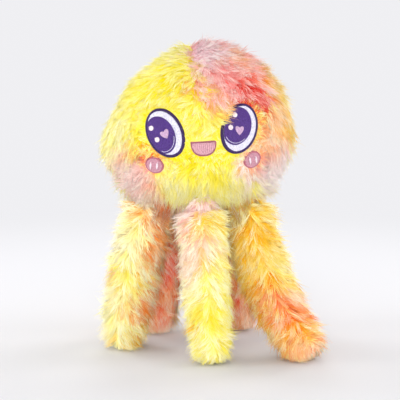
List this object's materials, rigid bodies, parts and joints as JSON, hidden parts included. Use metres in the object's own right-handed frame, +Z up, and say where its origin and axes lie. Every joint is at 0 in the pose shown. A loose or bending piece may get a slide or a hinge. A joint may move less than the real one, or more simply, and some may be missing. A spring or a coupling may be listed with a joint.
{
  "type": "plush jellyfish dog toy",
  "caption": "Soft long-fur jellyfish toy: a stuffed round bell with an embroidered face, a squeaker inside, and stuffed tentacles that flop about on gathered necks.",
  "frame": {"origin": "on the floor, under the middle of the toy's box", "axes": "+Z up from the tentacle tips to the crown, -Y the way the face looks, +X to the viewer's right"},
  "size_m": [0.169, 0.1418, 0.2523],
  "materials": {
    "face_fur": "long-pile fur, tie-dyed lemon yellow, cream, coral and pink",
    "crown_left_fur": "long-pile fur, lemon yellow paling to cream",
    "crown_right_fur": "long-pile fur, tie-dyed pink, coral and orange",
    "back_left_fur": "long-pile fur, lemon yellow with orange",
    "back_right_fur": "long-pile fur, tie-dyed coral, pink and gold",
    "base_cloth": "short-pile cloth",
    "neck_cloth": "gathered cloth backing",
    "front_tentacle_fur": "long-pile fur, cream to lemon yellow",
    "right_tentacle_fur": "long-pile fur, golden yellow, orange and coral",
    "back_right_tentacle_fur": "long-pile fur, orange and red",
    "back_left_tentacle_fur": "long-pile fur, coral red with a pink tip",
    "left_tentacle_fur": "long-pile fur, pale yellow and peach orange",
    "filling": "loose white fibre",
    "squeaker": "soft milky plastic",
    "squeaker_nozzle": "white moulded plastic",
    "squeaker_reed": "thin plastic film",
    "eye_outline_thread": "satin-stitch thread, dark indigo",
    "eye_white_thread": "satin-stitch thread, lavender white",
    "iris_thread": "satin-stitch thread, purple",
    "heart_thread": "satin-stitch thread, pink",
    "glint_thread": "satin-stitch thread, pinkish white",
    "mouth_outline_thread": "satin-stitch thread, mauve",
    "mouth_thread": "satin-stitch thread, pink",
    "cheek_edge_thread": "satin-stitch thread, deep pink",
    "cheek_thread": "satin-stitch thread, pink",
    "cheek_stitch_thread": "satin-stitch thread, pale pink"
  },
  "bodies": {
    "head": {"face_panel": "face_fur", "crown_left_panel": "crown_left_fur", "crown_right_panel": "crown_right_fur", "back_left_panel": "back_left_fur", "back_right_panel": "back_right_fur", "base_panel": "base_cloth", "bell_filling_lower": "filling", "bell_filling_upper": "filling", "squeaker_bulb": "squeaker", "squeaker_nozzle": "squeaker_nozzle", "squeaker_reed": "squeaker_reed", "left_eye_patch": "eye_outline_thread", "left_eye_white": "eye_white_thread", "left_eye_iris": "iris_thread", "left_eye_heart": "heart_thread", "left_eye_glint_1": "glint_thread", "left_eye_glint_2": "glint_thread", "right_eye_patch": "eye_outline_thread", "right_eye_white": "eye_white_thread", "right_eye_iris": "iris_thread", "right_eye_heart": "heart_thread", "right_eye_glint_1": "glint_thread", "right_eye_glint_2": "glint_thread", "mouth_patch": "mouth_outline_thread", "mouth_fill": "mouth_thread", "left_cheek_patch": "cheek_edge_thread", "left_cheek_fill": "cheek_thread", "left_cheek_stitch_1": "cheek_stitch_thread", "left_cheek_stitch_2": "cheek_stitch_thread", "right_cheek_patch": "cheek_edge_thread", "right_cheek_fill": "cheek_thread", "right_cheek_stitch_1": "cheek_stitch_thread", "right_cheek_stitch_2": "cheek_stitch_thread"},
    "front_neck": {"front_tentacle_neck": "neck_cloth"},
    "front_tentacle": {"front_tentacle_sleeve": "front_tentacle_fur", "front_tentacle_filling": "filling"},
    "right_neck": {"right_tentacle_neck": "neck_cloth"},
    "right_tentacle": {"right_tentacle_sleeve": "right_tentacle_fur", "right_tentacle_filling": "filling"},
    "back_right_neck": {"back_right_tentacle_neck": "neck_cloth"},
    "back_right_tentacle": {"back_right_tentacle_sleeve": "back_right_tentacle_fur", "back_right_tentacle_filling": "filling"},
    "back_left_neck": {"back_left_tentacle_neck": "neck_cloth"},
    "back_left_tentacle": {"back_left_tentacle_sleeve": "back_left_tentacle_fur", "back_left_tentacle_filling": "filling"},
    "left_neck": {"left_tentacle_neck": "neck_cloth"},
    "left_tentacle": {"left_tentacle_sleeve": "left_tentacle_fur", "left_tentacle_filling": "filling"}
  },
  "joints": [
    {"name": "front_swing", "type": "hinge", "parent": "head", "child": "front_neck", "pos_m": [-0.00922, -0.03686, 0.127], "axis": [-0.9511, -0.309, 0], "range_deg": [-14, 46], "stiffness_Nm_per_rad": 0.25},
    {"name": "front_sway", "type": "hinge", "parent": "front_neck", "child": "front_tentacle", "pos_m": [-0.00922, -0.03686, 0.127], "axis": [0.309, -0.9511, 0], "range_deg": [-15, 15], "stiffness_Nm_per_rad": 0.25},
    {"name": "right_swing", "type": "hinge", "parent": "head", "child": "right_neck", "pos_m": [0.02939, -0.0088, 0.127], "axis": [-0.7193, -0.6947, 0], "range_deg": [-23, 46], "stiffness_Nm_per_rad": 0.25},
    {"name": "right_sway", "type": "hinge", "parent": "right_neck", "child": "right_tentacle", "pos_m": [0.02939, -0.0088, 0.127], "axis": [0.6947, -0.7193, 0], "range_deg": [-15, 15], "stiffness_Nm_per_rad": 0.25},
    {"name": "back_right_swing", "type": "hinge", "parent": "head", "child": "back_right_neck", "pos_m": [0.01464, 0.03659, 0.127], "axis": [0.809, -0.5878, 0], "range_deg": [-16, 46], "stiffness_Nm_per_rad": 0.25},
    {"name": "back_right_sway", "type": "hinge", "parent": "back_right_neck", "child": "back_right_tentacle", "pos_m": [0.01464, 0.03659, 0.127], "axis": [0.5878, 0.809, 0], "range_deg": [-15, 15], "stiffness_Nm_per_rad": 0.25},
    {"name": "back_left_swing", "type": "hinge", "parent": "head", "child": "back_left_neck", "pos_m": [-0.03309, 0.03659, 0.127], "axis": [0.809, 0.5878, 0], "range_deg": [-12, 46], "stiffness_Nm_per_rad": 0.25},
    {"name": "back_left_sway", "type": "hinge", "parent": "back_left_neck", "child": "back_left_tentacle", "pos_m": [-0.03309, 0.03659, 0.127], "axis": [-0.5878, 0.809, 0], "range_deg": [-15, 15], "stiffness_Nm_per_rad": 0.25},
    {"name": "left_swing", "type": "hinge", "parent": "head", "child": "left_neck", "pos_m": [-0.04783, -0.0088, 0.127], "axis": [0.2079, 0.9781, 0], "range_deg": [-15, 46], "stiffness_Nm_per_rad": 0.25},
    {"name": "left_sway", "type": "hinge", "parent": "left_neck", "child": "left_tentacle", "pos_m": [-0.04783, -0.0088, 0.127], "axis": [-0.9781, 0.2079, 0], "range_deg": [-15, 15], "stiffness_Nm_per_rad": 0.25}
  ]
}
